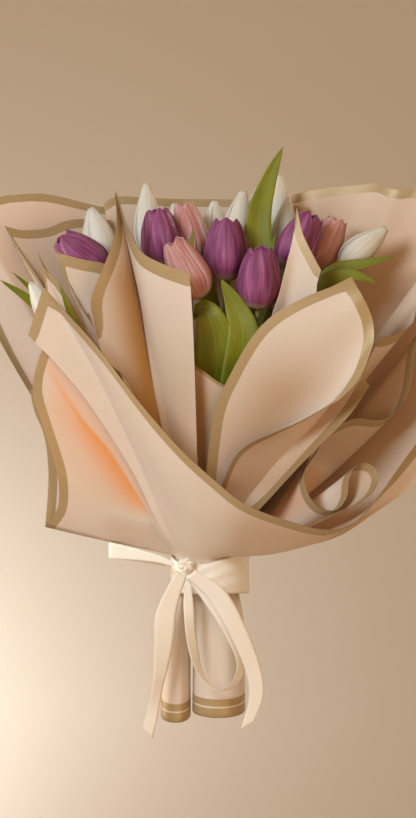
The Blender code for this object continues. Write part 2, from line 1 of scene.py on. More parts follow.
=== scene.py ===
"""Looks of the hand-tied tulip bouquet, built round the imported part.

Tables hold millimetres in the part's own frame (+Z up, front faces -Y, origin at the
centre of the bound waist) and degrees counter-clockwise from +X as seen from above.
"""
import math

import bpy
import numpy as np
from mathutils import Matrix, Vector


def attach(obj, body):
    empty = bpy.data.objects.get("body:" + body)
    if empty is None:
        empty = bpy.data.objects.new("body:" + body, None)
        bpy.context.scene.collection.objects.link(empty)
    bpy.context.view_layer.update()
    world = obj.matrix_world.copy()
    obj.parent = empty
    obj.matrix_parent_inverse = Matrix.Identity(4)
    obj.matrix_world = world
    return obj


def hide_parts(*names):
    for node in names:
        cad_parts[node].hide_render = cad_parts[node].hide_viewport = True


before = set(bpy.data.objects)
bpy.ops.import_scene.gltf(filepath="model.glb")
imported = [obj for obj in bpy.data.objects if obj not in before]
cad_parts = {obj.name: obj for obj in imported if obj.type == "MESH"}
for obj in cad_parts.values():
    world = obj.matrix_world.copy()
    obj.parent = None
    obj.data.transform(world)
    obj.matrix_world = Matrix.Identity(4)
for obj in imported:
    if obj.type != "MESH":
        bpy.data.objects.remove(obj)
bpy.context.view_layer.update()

MM = 0.001
CENTIMETRE = 10.0

# ---- dimensions repeated from the part
STEM_PITCH = 7.0
STEM_RADIUS = 3.1
STEM_NECK_RADIUS = 2.5
STEM_END = -125.0
STEM_STRAIGHT_TOP = 24.0
HANDLE_SHIFT = 8.0
BLOOM_GAP = 0.6
RING_START = 25.0
RING_PITCH = 1.5
PAPER_FOOT = -17.0
TIE_TOP = 22.0
TIE_DIP = 12.0
TIE_DIP_ANGLE = 245.0
BAND_INNER = 38.5
BAND_OUTER = 39.7
BAND_LOW = -21.0
BAND_BELOW_TIE_TOP = 2.0
KNOT_CENTRE = (-24.0, -41.5, 8.0)
KNOT_RADII = (8.0, 4.6, 7.0)
TWINE_RADIUS = 18.9
TWINE_TURNS = 3
STEM_BEND = -60.0
STEM_BIND = -14.0
STEM_PULLS = (0.3, 0.24)

# ---- finish of the scene's own pieces
PAPER_THICKNESS = 0.5
PAPER_FINENESS = 3.0
RIBBON_THICKNESS = 0.4
PETAL_THICKNESS = 0.5
LEAF_THICKNESS = 0.7
GILT_WIDTH = 10.0
FAR_FROM_EDGE = 500.0
CURL_SHARE = 0.22
CURVE_SAMPLES = 16
INNER_PETAL_SPAN = 1.30
WIDEST_PETAL_ANGLE = 1.15

# Tulips: name that starts with the colour, centre, lean to the right, tilt to the front, height,
# width, place in the bundle, and spin.
TULIPS = (
    ("purple_left", (-128, 5, 316), -50, 6, 60, 41, (2, 210), 10),
    ("purple_mid_left", (-49, -2, 334), -8, 4, 60, 40, (1, 180), 12),
    ("purple_centre", (16, -8, 322), 0, 4, 64, 43, (1, 300), 0),
    ("purple_front", (49, -41, 293), 3, 10, 64, 43, (2, 300), -6),
    ("purple_right", (89, 0, 331), 27, 4, 62, 40, (2, 330), -22),
    ("pink_back", (-20, 23, 340), -14, 0, 62, 34, (0, 0), -30),
    ("pink_front", (-23, -41, 302), -28, 8, 66, 38, (2, 270), -38),
    ("pink_right", (116, 36, 329), 28, -2, 58, 35, (2, 30), 20),
    ("white_far_left", (-113, 46, 336), -14, -6, 60, 34, (2, 180), 30),
    ("white_left_low", (-166, -12, 268), -32, 4, 50, 25, (2, 240), 0),
    ("white_tall_left", (-63, 42, 354), -2, -4, 72, 27, (2, 150), 0),
    ("white_behind_pink", (-34, 55, 340), -4, -6, 62, 25, (2, 120), 0),
    ("white_back_centre", (4, 56, 343), 0, -6, 62, 28, (1, 120), 50),
    ("white_centre_right", (28, 31, 352), 10, -4, 64, 28, (1, 60), 8),
    ("white_behind_leaf", (43, 56, 356), 12, -6, 66, 24, (2, 90), 0),
    ("white_tall_right", (68, 66, 366), 5, -6, 68, 25, (2, 60), 0),
    ("white_right", (75, 36, 346), 6, -4, 60, 24, (1, 0), 20),
    ("white_far_right", (154, 20, 325), 50, 0, 60, 30, (2, 0), 0),
)

# Share of height, radius of the outer petals, radius of the inner ones, half span of a petal;
# the last three are shares of the bloom's half width.
BLOOM_SHAPES = {
    "full": ((0.0, 0.10, 0.08, 0.18), (0.05, 0.50, 0.40, 0.40), (0.14, 0.80, 0.70, 0.56),
             (0.3, 1.0, 0.92, 0.70),
             (0.5, 0.98, 0.90, 0.76), (0.7, 0.88, 0.80, 0.68), (0.85, 0.74, 0.68, 0.48), (0.95, 0.62, 0.58,
                                                                                          0.22),
             (1.0, 0.56, 0.52, 0.02)),
    "slender": ((0.0, 0.12, 0.08, 0.20), (0.05, 0.50, 0.40, 0.50), (0.14, 0.80, 0.68, 0.74),
                (0.3, 1.0, 0.88, 0.90),
                (0.5, 0.95, 0.84, 0.90), (0.7, 0.74, 0.66, 0.74), (0.85, 0.50, 0.46, 0.50), (0.95, 0.30,
                                                                                             0.30, 0.24),
                (1.0, 0.22, 0.22, 0.03)),
}

# Leaves: stem, height where it leaves the stem, path to the tip, widest, how far its face turns up.
LEAVES = (
    ("tall", "white_right", 205,
     ((44, 9, 265), (48, 4, 312), (49, 5, 357), (60, 2, 395), (73, 0, 425)), 31, 0),
    ("between_pinks", "purple_mid_left", 190, ((-24, -5, 250), (-21, -9, 300), (-17, -9, 344)), 12, 0),
    ("front_left", "pink_front", 130,
     ((-2, -30, 160), (6, -40, 200), (5, -48, 232), (-1, -50, 256), (-9, -40, 264),
      (-16, -30, 252)), 46, 0.2),
    ("front_centre", "purple_front", 140,
     ((26, -38, 175), (32, -48, 208), (33, -50, 240), (24, -46, 268), (11, -43, 292)), 37, 0),
    ("dark_centre", "purple_centre", 140, ((4, 1, 200), (3, 6, 250), (2, 9, 296)), 26, 0),
    ("right_low", "purple_right", 215,
     ((96, -7, 262), (116, -12, 290), (142, -16, 297), (168, -18, 288)), 22, 0.5),
    ("right_high", "white_far_right", 235,
     ((102, 8, 272), (122, 3, 300), (150, -3, 308), (184, -6, 315)), 17, 0.5),
    ("small_right", "purple_front", 200, ((46, -16, 270), (57, -13, 305), (66, -17, 339)), 10, 0),
    ("far_left_low", "white_left_low", 190,
     ((-140, 5, 235), (-168, 9, 262), (-190, 7, 279), (-210, 2, 292)), 14, 0),
    ("far_left_high", "white_left_low", 165,
     ((-120, 8, 212), (-150, 17, 252), (-180, 17, 284), (-198, 12, 300)), 12, 0),
    ("left_strip", "white_left_low", 170, ((-112, -40, 196), (-132, -50, 242), (-150, -52, 288)), 12, 0),
    ("dark_right", "purple_right", 140, ((50, -12, 200), (56, -16, 230), (61, -18, 268)), 26, 0),
)

# Paper sheets: ring, angles of the foot, free edge and options. The edge is made of runs that meet
# in corners; each run starts where the one before it ended.
# belly (outwards, upwards) and bend shape each rib; first and last are the side edges; a fold is a
# rib with its own path and a crease, named by the corner or the share of the width where it ends.
# curl draws the first edge back. gilt gives the width of the gold border along "first",
# "last" and the rim runs by number. painted_light_bands and painted_light_pools paint light into the
# film's colour: painted brown shade where folds, recesses and the tie keep light out, and, with a
# negative strength, a painted orange glow where light comes through the film. painted_light_bands go
# between two corners, from one share of the height to another, and painted_light_pools round a line
# given by (x, z).
SHEETS = {
    "back_left": dict(
        painted_light_bands=(((0, 1), (0.7, 1.1), (0.5, 0.5)),), painted_light_pools=(((-165, 330), (-120, 330), 40, 0.2),),
        ring=5, angles=(88, 183), belly=(12, -14), columns=15, gilt={0: 8, 1: 10},
        rim=(((35, 98, 369), (-40, 101, 371), (-105, 98, 368), (-124, 93, 371), (-148, 88, 377),
              (-171, 82, 381), (-190, 77, 380), (-210, 72, 378), (-240, 62, 369)),
             ((-232, 46, 282), (-210, 34, 229), (-172, 19, 164), (-150, 13, 132)))),
    "back_centre": dict(
        painted_light_bands=(((0, 1), (0.8, 1.15), (0.6, 0.6)),),
        ring=4, angles=(62, 118), belly=(9, -2), gilt={0: 8},
        rim=(((100, 86, 367), (65, 90, 371), (30, 91, 375), (-40, 91, 376), (-92, 88, 378),
              (-108, 86, 371)),)),
    "back_right": dict(
        painted_light_bands=(((0, 1), (0.9, 1.6), (0.35, 0.5)), ((1, 2), (0.8, 1.15), (0.6, 0.4))),
        ring=6, angles=(-18, 85), belly=(14, -16), columns=15, gilt={0: 9, 1: 9},
        first=((70, -22, 28), (120, -36, 40)),
        rim=(((158, -46, 57), (206, -34, 96), (228, -16, 160), (238, 0, 222), (244, 20, 292),
              (245, 45, 367)),
             ((206, 62, 385), (188, 62, 383), (170, 74, 391), (145, 84, 389),
              (120, 90, 387),
              (90, 97, 382), (60, 104, 372)))),
    "left_liner": dict(
        painted_light_bands=(((0, 2), (0.6, 1.3), (0.9, 0.5)),),
        ring=2, angles=(112, 182), belly=(8, -6), gilt={0: 9, 1: 3},
        rim=(((-100, 80, 354), (-130, 72, 355), (-148, 65, 352), (-165, 58, 345), (-190, 50, 343),
              (-207, 44, 347)),
             ((-190, 38, 320), (-167, 30, 285), (-150, 16, 237)))),
    "left_flap": dict(
        painted_light_bands=(((0, 2), (0.5, 1.1), (0.2, 0.8)),),
        ring=1, angles=(198, 222), belly=(2, 0), columns=9, gilt={0: 2, 1: 11},
        first=((-62, -22, 140),),
        rim=(((-113, -28, 243), (-130, -30, 270), (-148, -31, 304), (-154, -31, 319)),
             ((-139, -32, 315), (-122, -30, 311), (-106, -28, 308), (-94, -24, 300))),
        last=((-40, -20, 120), (-64, -22, 210))),
    "left_point": dict(
        ring=6, angles=(196, 216), columns=9, gilt={0: 2, 1: 5},
        first=((-60, -36, 90), (-112, -40, 190)),
        rim=(((-160, -42, 262), (-165, -42, 292), (-171, -42, 319)),
             ((-164, -42, 303), (-151, -42, 289), (-136, -41, 266), (-122, -40, 240),
              (-104, -40, 210))),
        last=((-50, -38, 80), (-78, -40, 150))),
    "roll": dict(
        ring=3, angles=(210, 262), belly=(4, 0), columns=16, gilt={0: 11, 1: 13},
        first=((-72, -50, 172), (-104, -58, 213)),
        painted_light_bands=(((0, 1), (0.1, 1.1), (0.3, 0.4)), ((1, 2), (0.1, 0.95), (0.7, 0.9))),
        painted_light_pools=(((-76, 290), (-52, 150), 28, 0.85, 0, 1),),
        folds=((1, ((-34, -36, 80), (-50, -39, 152), (-62, -35, 214), (-70, -33, 271), (-78, -33, 308),
                    (-87, -39, 348))),),
        rim=(((-114, -62, 242), (-118, -62, 268), (-113, -60, 287), (-101, -57, 316), (-93, -52, 346),
              (-94, -48, 380)),
             ((-84, -52, 350), (-79, -56, 337), (-68, -64, 319), (-50, -72, 308),
              (-20, -74, 297))),
        last=((-12, -58, 110), (-13, -66, 152), (-16, -73, 235))),
    "inner_liner": dict(
        painted_light_bands=(((0, 1), (0.8, 1.3), (0.9, 0.5)),),
        ring=0, angles=(225, 300), belly=(3, 0), gilt={0: 3},
        rim=(((-34, -54, 215), (-13, -57, 205), (8, -60, 190), (18, -60, 187), (26, -58, 197),
              (34, -56, 206)),)),
    "right_leaf": dict(
        painted_light_pools=(((66, 172), (24, 96), 46, 0.5), ((30, 96), (96, 152), 20, -0.2)),
        ring=3, angles=(274, 298), belly=(-1, 0), columns=10, rows=8, curl=16,
        gilt={"first": 10, 0: 11, "last": 5},
        first=((-5, -50, 60), (-3, -68, 105), (5, -83, 162), (20, -88, 197), (40, -90, 232), (60, -90, 254),
               (90, -88, 272), (120, -84, 284)),
        rim=(((140, -80, 294), (157, -79, 262), (162, -80, 242), (160, -82, 222), (146, -86, 192),
              (128, -88, 172)),),
        last=((10, -58, 75), (14, -74, 94), (25, -82, 117), (40, -86, 130), (60, -89, 139),
              (90, -91, 152))),
    "right_fold": dict(
        ring=2, angles=(282, 306), belly=(-2, 0), columns=8, rows=7, slack=0.1, gilt={"last": 11},
        painted_light_pools=(((66, 172), (24, 96), 46, 0.4), ((64, 88), (140, 166), 24, 0.4)),
        first=((12, -38, 75), (34, -50, 120), (76, -58, 168)),
        folds=((0.5, ((24, -42, 62), (48, -54, 95), (76, -60, 132), (112, -60, 172))),),
        rim=(((128, -62, 206), (146, -62, 200), (158, -62, 186)),),
        last=((30, -48, 44), (54, -72, 69), (76, -81, 93), (95, -83, 113), (136, -74, 154))),
    "right_cone": dict(
        ring=1, angles=(306, 352), belly=(0, -8), gilt={0: 9},
        first=((38, -36, 120), (58, -50, 242), (67, -50, 272), (76, -46, 308), (83, -42, 335)),
        rim=(((86, -40, 363), (88, -42, 356), (92, -46, 338), (99, -50, 322), (110, -54, 301)),
             ((106, -54, 286), (108, -50, 262), (116, -42, 240)))),
    "right_ruffle": dict(
        painted_light_bands=(((0, 1), (0.9, 1.5), (0.45, 0.4)),), painted_light_pools=(((56, 52), (100, 88), 24, -0.9),),
        near=9, ring=4, angles=(304, 362), belly=(2,
                                                  -8), bend=0.62, back=18, columns=24, rows=5, gilt={0: 9},
        rim=(((115, -98, 58), (140, -95, 67), (160, -88, 80), (167, -80, 97), (158, -76, 109),
              (145, -77, 108),
              (137, -79, 94), (135, -81, 77), (125, -82, 64), (108, -81, 66), (96, -79, 82), (94, -76, 102),
              (105, -68, 127), (125, -56, 145), (145, -48, 154), (170, -40, 152), (185, -35, 160),
              (195, -30, 172), (201, -26, 192), (206, -20, 227), (216, -14, 250)),)),
    "right_liner": dict(
        ring=3, angles=(326, 388), belly=(-4, 10), gilt={0: 9},
        painted_light_bands=(((0, 2), (0.85, 1.1), (0.4, 0.3)),),
        first=((70, -44, 70), (112, -54, 130), (146, -52, 190)),
        rim=(((168, -46, 233), (182, -40, 236), (196, -34, 243)),
             ((202, -22, 250), (206, -8, 262), (212, 6, 278), (218, 20, 305)))),
    "left_wing": dict(
        painted_light_bands=(((0.93, 1.0), (0.9, 1.2), (-0.3, -0.3)),),
        painted_light_pools=(((-118, 148), (-66, 70), 13, -0.5, 0, 0.93), ((-136, 168), (-76, 84), 28, -0.5, 0, 0.93),
               ((-90, 48), (-50, 44), 18, 0.3)),
        near=8, ring=7, angles=(188, 214), columns=18, rows=5, gilt={0: 9, 1: 9},
        rim=(((-180, -4, 184), (-176, -8, 163), (-165, -13, 135), (-161, -20, 95), (-164, -28, 46)),
             ((-151, -40, 66), (-151, -50, 96), (-158, -53, 122), (-168, -55, 152),
              (-176, -57, 182), (-168, -61, 218), (-154, -58, 236))),
        last=((-50, -30, 48), (-90, -46, 129), (-119, -52, 168))),
    "front": dict(
        swell=0.4, painted_light_pools=(((40, 40), (150, 40), 30, 0.45),),
        ring=8, angles=(218, 328), belly=(6, -8), columns=20, rows=6, gilt={0: 10, 1: 10},
        first=((-51, -40, 48), (-78, -50, 103), (-119, -62, 167), (-150, -69, 205)),
        rim=(((-180, -71, 236), (-165, -72, 284)),
             ((-138, -82, 254), (-112, -91, 225), (-70, -105, 170), (-30, -113, 124),
              (5, -117, 92),
              (35, -118, 69), (80, -116, 52), (120, -108, 44), (150, -99, 57), (170, -91, 82),
              (190, -83, 110), (210, -72, 137), (236, -50, 176))),
        last=((62, -46, 22), (120, -72, 34), (160, -74, 58), (206, -64, 92), (232, -54, 130))),
}

# Stem sleeves: rows of (height, centre x, half width, half depth), and the lowest front edge.
SLEEVES = {
    "left": (((-18.5, -29.6, 6.6, 15), (-34, -33, 11, 17), (-62, -34.4, 14.2, 18),
              (-100, -34.4, 14.2, 18), (-143, -34.4, 14.6, 19)), 7.0),
    "right": (((-18.5, 3, 24, 24), (-34, 6, 24.6, 24.5), (-62, 8.6, 25.6, 25),
               (-100, 8.6, 25.6, 25), (-138, 8.6, 26.2, 25.5)), 7.0),
}

# Ribbons: body, path, and half width vectors along it.
RIBBONS = {
    "tail_left": dict(
        path=((-28, -41, -1), (-36, -42, -18), (-44, -41, -43), (-47, -39, -78), (-51, -38, -108),
              (-57, -38, -138), (-62, -38, -160)),
        half=((5, 1, -2), (10, 2, -4), (9.5, 3, -2), (6, 3.5, 0), (5, 3, -1), (5.5, 1, -2.5),
              (5, 1, -4.5))),
    "tail_right": dict(
        path=((-19, -46.6, -1), (5, -46, -20), (25, -44, -52), (42, -40, -93), (46, -38, -123),
              (37, -38, -152)),
        half=((4, -1, 4), (7, -1, 6.5), (8, 1, 4.5), (8.5, 2, 1), (8, 1, -1), (6.5, 0, 4))),
    "loop_hanging": dict(
        path=((-21, -42.5, -2), (4, -42.2, -30), (22, -41, -62), (31, -40, -92), (22, -41, -112),
              (5, -44, -116),
              (-10, -45, -98), (-18, -44, -68), (-21, -43.5, -38), (-22.5, -43.5, -8)),
        half=((3, 0, 2), (6, 0, 4), (7, 2, 3), (6, 5, 0), (3, 7, -2), (0, 7.5, 0), (4, 6, 2), (5, 3, 0),
              (5, 0, 0), (2.5, 0, 0))),
    "loop_side": dict(
        path=((-36, -43, 8.5), (-50, -39, 13.5), (-75, -31, 18.5), (-96, -22, 21.5), (-101, -16, 22),
              (-96, -11, 21.5), (-75, -17, 17.5), (-54, -28, 12), (-40, -38, 7.5)),
        half=((0, 0, 2.2), (0, 0.5, 6), (0, 0.5, 8), (0, 0, 8.6), (0, 0, 8.8), (0, 0, 8.6), (0, -0.5, 7.5),
              (0, -0.5, 5.5), (0, 0, 2.2))),
}


# ---- shader nodes
def node(tree, kind, inputs=None, **settings):
    """Add one node; each input is a value or another node's output."""
    made = tree.nodes.new("ShaderNode" + kind)
    for name, value in settings.items():
        setattr(made, name, value)
    for name, value in (inputs or {}).items():
        if isinstance(value, bpy.types.NodeSocket):
            tree.links.new(value, made.inputs[name])
        elif made.inputs[name].type == "RGBA":
            made.inputs[name].default_value = (*value, 1.0)
        else:
            made.inputs[name].default_value = value
    return made


def maths(tree, operation, first, second=0.0):
    return node(tree, "Math", {0: first, 1: second}, operation=operation).outputs[0]


def attribute(tree, name):
    return node(tree, "Attribute", attribute_name=name).outputs["Fac"]


def stretch(tree, value, low, high, to_low=0.0, to_high=1.0):
    """Map a value's range onto another one, clamped."""
    return node(tree, "MapRange", {0: value, 1: low, 2: high, 3: to_low, 4: to_high}).outputs[0]


def mix(tree, share, first, second):
    made = node(tree, "Mix", {0: share, 6: first, 7: second}, data_type="RGBA")
    return made.outputs[2]


def blend(tree, value, span, first, second):
    """Go from the first colour to the second over a span of the value."""
    return mix(tree, stretch(tree, value, *span), first, second)


def noise(tree, place, scale, detail=2.0, roughness=0.5):
    inputs = {"Vector": place, "Scale": scale, "Detail": detail, "Roughness": roughness}
    return node(tree, "TexNoise", inputs).outputs["Fac"]


def stretched(tree, place, scale):
    """The place with its axes stretched, for streaks."""
    return node(tree, "Mapping", {0: place, 3: scale}).outputs[0]


def bump(tree, height, distance, strength=1.0, normal=None):
    inputs = {"Height": height, "Distance": distance, "Strength": strength}
    if normal is not None:
        inputs["Normal"] = normal
    return node(tree, "Bump", inputs).outputs["Normal"]


def new_tree(name):
    made = bpy.data.materials.new(name)
    made.use_nodes = True
    made.node_tree.nodes.clear()
    return made, made.node_tree


def surface_space(tree, across_scale, along_scale):
    """Texture space laid along a strip: its x runs across it and its y along it."""
    across = maths(tree, "MULTIPLY", attribute(tree, "across"), across_scale)
    along = maths(tree, "MULTIPLY", attribute(tree, "along"), along_scale)
    kind = attribute(tree, "own_shade")
    return node(tree, "CombineXYZ", {0: across, 1: along, 2: maths(tree, "MULTIPLY", kind,
                                                                   40.0)}).outputs[0]


def object_space(tree):
    return node(tree, "TexCoord").outputs["Object"]


def principled(tree, colour, texture, rough, relief, more=None):
    """Surface whose roughness follows its texture, from one value to another."""
    inputs = {"Base Color": colour, "Roughness": stretch(tree, texture, 0.2, 0.8, *rough), "Normal": relief}
    return node(tree, "BsdfPrincipled", {**inputs, **(more or {})})


def close(tree, shader, light_through=None, through_share=0.0):
    """Send the shader to the output, mixed with light that comes through a thin sheet."""
    out = node(tree, "OutputMaterial")
    if light_through is None:
        tree.links.new(shader.outputs[0], out.inputs["Surface"])
        return
    lit = node(tree, "BsdfTranslucent", {"Color": light_through})
    both = node(tree, "MixShader", {0: through_share, 1: shader.outputs[0], 2: lit.outputs[0]})
    tree.links.new(both.outputs[0], out.inputs["Surface"])


def paper_material(name, stripes):
    """Matte peach wrapping film with gold stripes printed along its edges; shade and an orange glow are
    painted into its colour from a per-point field.
    """
    made, tree = new_tree(name)
    place = object_space(tree)
    distance = attribute(tree, "rim")
    gold = 0.0
    for near, far in stripes:
        inside = stretch(tree, distance, near - 0.25, near + 0.25)
        outside = stretch(tree, distance, far - 0.25, far + 0.25, 1.0, 0.0)
        gold = maths(tree, "MAXIMUM", gold, maths(tree, "MULTIPLY", inside, outside))
    cloud = stretch(tree, noise(tree, place, 9.0, 3.0), 0.3, 0.7)
    fleck = noise(tree, place, 900.0, 3.0, 0.7)
    tone = mix(tree, cloud, (0.84, 0.75, 0.66), (0.81, 0.71, 0.61))
    paper = blend(tree, fleck, (0.35, 0.65), tone, (0.88, 0.81, 0.73))
    paper = mix(tree, 0.35, tone, paper)
    # Painted light: positive values paint brown shade into the film, negative ones a painted orange glow.
    painted_shade_glow = attribute(tree, "painted_shade_glow")
    paper = blend(tree, painted_shade_glow, (0.0, 1.0), paper, (0.50, 0.25, 0.065))
    paper = blend(tree, painted_shade_glow, (-1.0, 0.0, 1.0, 0.0), paper, (0.95, 0.42, 0.15))
    streak = noise(tree, stretched(tree, place, (120.0, 120.0, 2200.0)), 1.0, 2.0)
    ink = blend(tree, streak, (0.3, 0.7), (0.42, 0.29, 0.145), (0.48, 0.34, 0.18))
    # Painted shade darkens the gold print as well.
    ink = blend(tree, painted_shade_glow, (0.0, 1.0, 0.0, 0.7), ink, (0.20, 0.11, 0.04))
    colour = mix(tree, gold, paper, ink)
    grain = bump(tree, fleck, 0.00012)
    waves = bump(tree, noise(tree, place, 26.0, 2.0), 0.0012, 0.6, grain)
    shader = node(tree, "BsdfPrincipled", {
        "Base Color": colour,
        "Roughness": maths(tree, "SUBTRACT", stretch(tree, fleck, 0.2, 0.8, 0.48, 0.60),
                           maths(tree, "MULTIPLY", gold, 0.16)),
        "Metallic": maths(tree, "MULTIPLY", gold, 0.12),
        "Normal": waves, "Specular IOR Level": 0.4, "Sheen Weight": 0.12, "Sheen Roughness": 0.5,
    })
    glow = mix(tree, gold, (0.90, 0.56, 0.30), (0.36, 0.22, 0.08))
    # The colour of light through the film is darkened where shade is painted.
    glow = blend(tree, painted_shade_glow, (0.0, 1.0), glow, (0.50, 0.22, 0.06))
    share = maths(tree, "MULTIPLY", maths(tree, "SUBTRACT", 1.0, maths(tree, "MULTIPLY", gold, 0.8)), 0.24)
    close(tree, shader, glow, share)
    return made


# light is the pale tone of the petal edges and of the rib streaks; on the streaks it partly stands for a
# painted silky sheen.
PETAL_TONES = {
    "purple": dict(body=(0.20, 0.018, 0.115), light=(0.56, 0.18, 0.41), dark=(0.05, 0.004, 0.022),
                   foot=(0.72, 0.62, 0.42), foot_to=0.16, through=(0.50, 0.08, 0.22)),
    "pink": dict(body=(0.60, 0.24, 0.23), light=(0.88, 0.64, 0.62), dark=(0.36, 0.09, 0.09),
                 foot=(0.66, 0.55, 0.30), foot_to=0.14, through=(0.85, 0.25, 0.22)),
    "white": dict(body=(0.80, 0.77, 0.68), light=(0.92, 0.91, 0.87), dark=(0.56, 0.52, 0.38),
                  foot=(0.55, 0.58, 0.28), foot_to=0.12, through=(0.85, 0.74, 0.50)),
}


def petal_material(name, body, light, dark, foot, foot_to, through):
    """Waxy petal: fine ribs from foot to tip with pale streaks that are partly its own colour and partly a
    painted sheen, a dark seam, pale edges and a pale foot.
    """
    made, tree = new_tree(name)
    across = maths(tree, "ABSOLUTE", attribute(tree, "across"))
    along = attribute(tree, "along")
    ribs = noise(tree, surface_space(tree, 30.0, 1.1), 1.0, 5.0, 0.72)
    blush = noise(tree, surface_space(tree, 2.4, 1.4), 1.0, 2.0)
    ribbed = stretch(tree, ribs, 0.36, 0.66, 0.0, 0.75)
    # Pale streaks: the petal's own ribbed and blotched tone, partly a painted sheen highlight.
    ribs_and_painted_sheen = maths(tree, "ADD", ribbed, stretch(tree, blush, 0.4, 0.7, -0.25, 0.35))
    colour = blend(tree, ribs_and_painted_sheen, (0.0, 1.0), body, light)
    colour = blend(tree, ribs, (0.28, 0.44, 0.7, 0.0), colour, dark)
    colour = blend(tree, across, (0.0, 0.07, 0.45, 0.0), colour, dark)
    colour = blend(tree, across, (0.86, 1.0, 0.0, 0.35), colour, light)
    ragged = maths(tree, "ADD", along, maths(tree, "MULTIPLY", maths(tree, "SUBTRACT", ribs, 0.5), 0.16))
    colour = blend(tree, ragged, (0.0, foot_to, 1.0, 0.0), colour, foot)
    shader = principled(tree, colour, ribs, (0.30, 0.46), bump(tree, ribs, 0.0007, 0.9),
                        {"Sheen Weight": 0.08, "Sheen Roughness": 0.4})
    close(tree, shader, through, 0.18)
    return made


def leaf_material():
    """Fleshy tulip leaf: long parallel veins, a pale keel and a waxy bloom."""
    made, tree = new_tree("tulip_leaf")
    space = surface_space(tree, 15.0, 0.9)
    veins = noise(tree, space, 1.0, 3.0, 0.7)
    patch = noise(tree, object_space(tree), 30.0, 2.0)
    colour = blend(tree, patch, (0.35, 0.65), (0.20, 0.22, 0.006), (0.31, 0.31, 0.01))
    colour = blend(tree, veins, (0.35, 0.65, 0.0, 0.55), colour, (0.12, 0.155, 0.004))
    middle = maths(tree, "ABSOLUTE", attribute(tree, "across"))
    colour = blend(tree, middle, (0.0, 0.06, 0.5, 0.0), colour, (0.36, 0.38, 0.06))
    colour = blend(tree, middle, (0.93, 1.0, 0.0, 0.5), colour, (0.42, 0.42, 0.10))
    shader = principled(tree, colour, veins, (0.38, 0.55), bump(tree, veins, 0.0005, 0.8))
    close(tree, shader, (0.40, 0.45, 0.02), 0.18)
    return made


def stem_material():
    made, tree = new_tree("tulip_stem")
    streak = noise(tree, stretched(tree, object_space(tree), (500.0, 500.0, 22.0)), 1.0, 3.0)
    colour = blend(tree, streak, (0.3, 0.7), (0.17, 0.20, 0.04), (0.32, 0.32, 0.12))
    close(tree, principled(tree, colour, streak, (0.4, 0.55), bump(tree, streak, 0.0002)))
    return made


def satin_material():
    """Cream satin ribbon: fine crosswise threads and a woven selvedge."""
    made, tree = new_tree("satin_ribbon")
    across = attribute(tree, "across")
    along = attribute(tree, "along")
    thread = maths(tree, "SINE", maths(tree, "MULTIPLY", along, 9.0))
    weave = node(tree, "CombineXYZ", {0: maths(tree, "MULTIPLY", across, 2.0),
                                      1: maths(tree, "MULTIPLY", along, 1.4)}).outputs[0]
    float_yarn = noise(tree, weave, 3.0, 3.0)
    selvedge = stretch(tree, maths(tree, "ABSOLUTE", across), 0.86, 0.93)
    colour = blend(tree, float_yarn, (0.3, 0.7), (0.95, 0.91, 0.84), (0.98, 0.95, 0.90))
    colour = mix(tree, maths(tree, "MULTIPLY", selvedge, 0.35), colour, (0.74, 0.58, 0.42))
    height = maths(tree, "ADD", maths(tree, "MULTIPLY", thread, 0.5),
                   maths(tree, "MULTIPLY", selvedge, 1.5))
    shader = principled(tree, colour, float_yarn, (0.24, 0.36), bump(tree, height, 0.00004),
                        {"Specular IOR Level": 0.7, "Sheen Weight": 0.3, "Sheen Roughness": 0.3})
    close(tree, shader, (0.95, 0.74, 0.50), 0.12)
    return made


def twine_material():
    made, tree = new_tree("jute_twine")
    fibre = noise(tree, surface_space(tree, 9.0, 6.0), 1.0, 4.0, 0.75)
    colour = mix(tree, fibre, (0.30, 0.19, 0.09), (0.62, 0.46, 0.27))
    close(tree, principled(tree, colour, fibre, (0.8, 0.95), bump(tree, fibre, 0.0005)))
    return made


def foil_material():
    made, tree = new_tree("crinkled_foil")
    place = object_space(tree)
    cells = node(tree, "TexVoronoi", {"Vector": place, "Scale": 150.0}, feature="DISTANCE_TO_EDGE")
    worn = noise(tree, place, 60.0, 3.0)
    colour = mix(tree, worn, (0.68, 0.69, 0.70), (0.86, 0.86, 0.85))
    relief = bump(tree, cells.outputs["Distance"], 0.0012)
    close(tree, principled(tree, colour, worn, (0.22, 0.42), relief, {"Metallic": 1.0}))
    return made


# ---- geometry
def new_object(name, data):
    made = bpy.data.objects.new(name, data)
    bpy.context.scene.collection.objects.link(made)
    return made


def strip_places(columns, rows):
    """Row number, place across (-1 to 1) and place along (0 to 1) of each point of a strip."""
    row = np.tile(np.arange(rows + 1), columns + 1)
    return row, np.repeat(np.linspace(-1.0, 1.0, columns + 1), rows + 1), row / rows


def strip_fields(across, along, shade):
    """Per-point values of a strip: place across it, place along it, and its own shade."""
    return {"across": across, "along": along, "own_shade": [shade] * len(across)}


def add_piece(name, points, faces, finish, stands_for, body="root", fields=None, thickness=0.0):
    """Add one visible piece from points in millimetres; fields are per-point values for its shader."""
    mesh = bpy.data.meshes.new(name)
    mesh.from_pydata([tuple(point) for point in np.array(points, dtype=float) * MM], [], faces)
    for field, values in (fields or {}).items():
        layer = mesh.attributes.new(field, "FLOAT", "POINT")
        layer.data.foreach_set("value", np.array(values, dtype=np.float32))
    mesh.materials.append(finish)
    mesh.shade_smooth()
    item = new_object(name, mesh)
    if thickness:
        solid = item.modifiers.new("thickness", "SOLIDIFY")
        solid.thickness = thickness * MM
        solid.offset = 0.0
        solid.use_even_offset = False
    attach(item, body)
    if stands_for:
        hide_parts(*stands_for)
    return item


